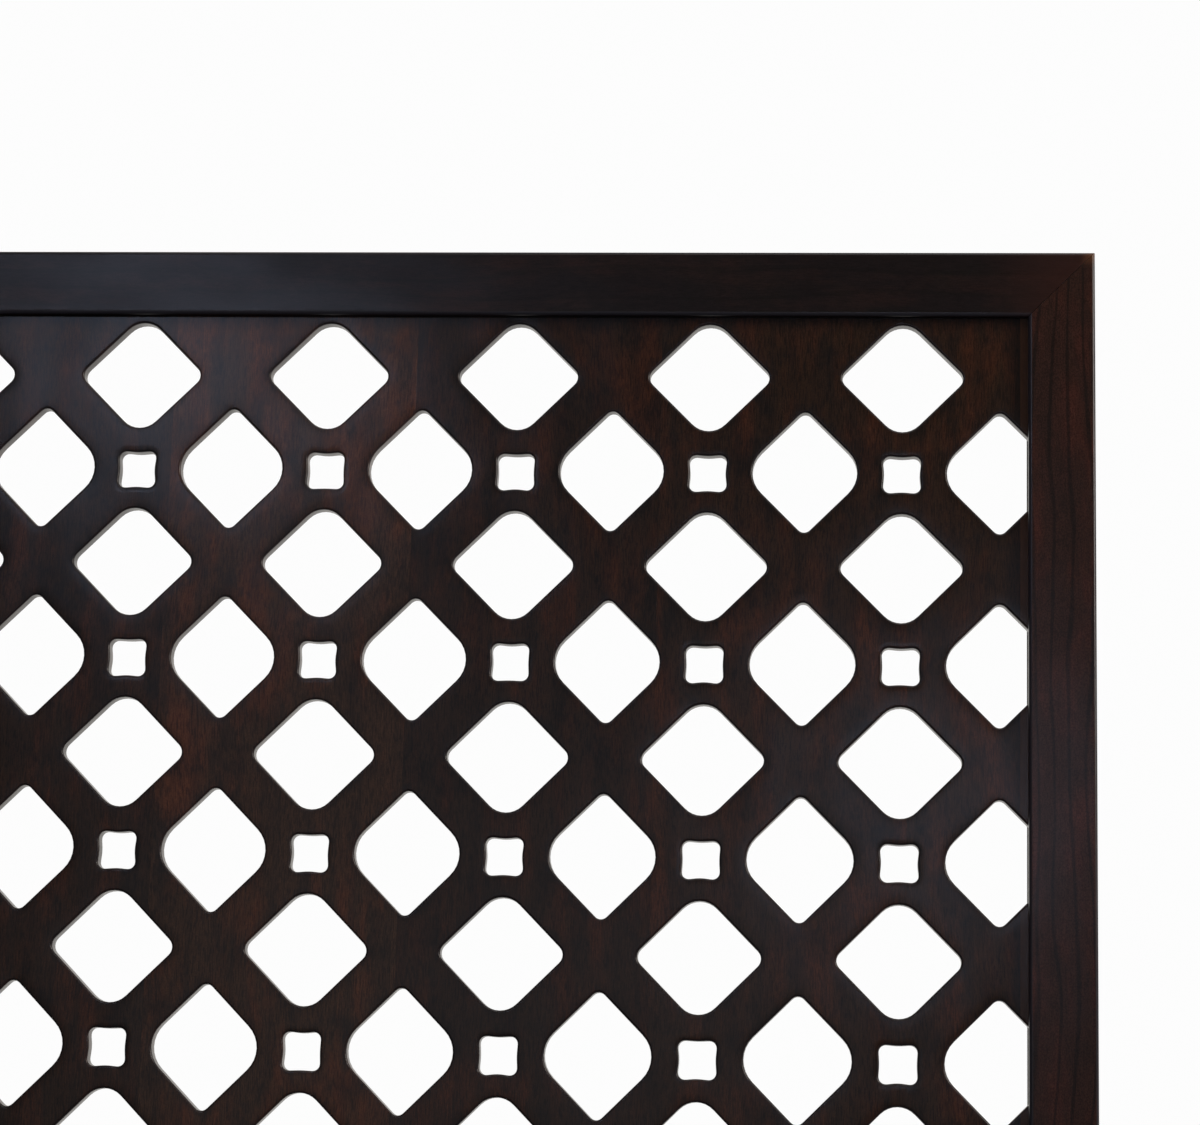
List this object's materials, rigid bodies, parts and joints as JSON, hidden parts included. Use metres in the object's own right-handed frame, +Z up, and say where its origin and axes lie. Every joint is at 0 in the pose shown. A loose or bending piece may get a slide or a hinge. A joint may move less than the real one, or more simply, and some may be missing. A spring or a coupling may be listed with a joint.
{
  "type": "mashrabiya screen",
  "caption": "Flat wooden mashrabiya screen: a mitred frame around a pierced panel of rounded diamonds and small squares, for hanging on a wall or fixing in an opening.",
  "frame": {"origin": "centre of the top rail's back face", "axes": "+Z up along the stiles, +X to the right along the rails seen from the front, +Y out of the back, so the front faces -Y"},
  "size_m": [0.976, 0.025, 1.1686],
  "materials": {
    "frame_wood": "dark walnut stain under satin lacquer",
    "panel_wood": "dark walnut stain under satin lacquer"
  },
  "bodies": {
    "root": {"top_rail": "frame_wood", "bottom_rail": "frame_wood", "left_stile": "frame_wood", "right_stile": "frame_wood", "lattice_panel": "panel_wood"}
  },
  "joints": []
}
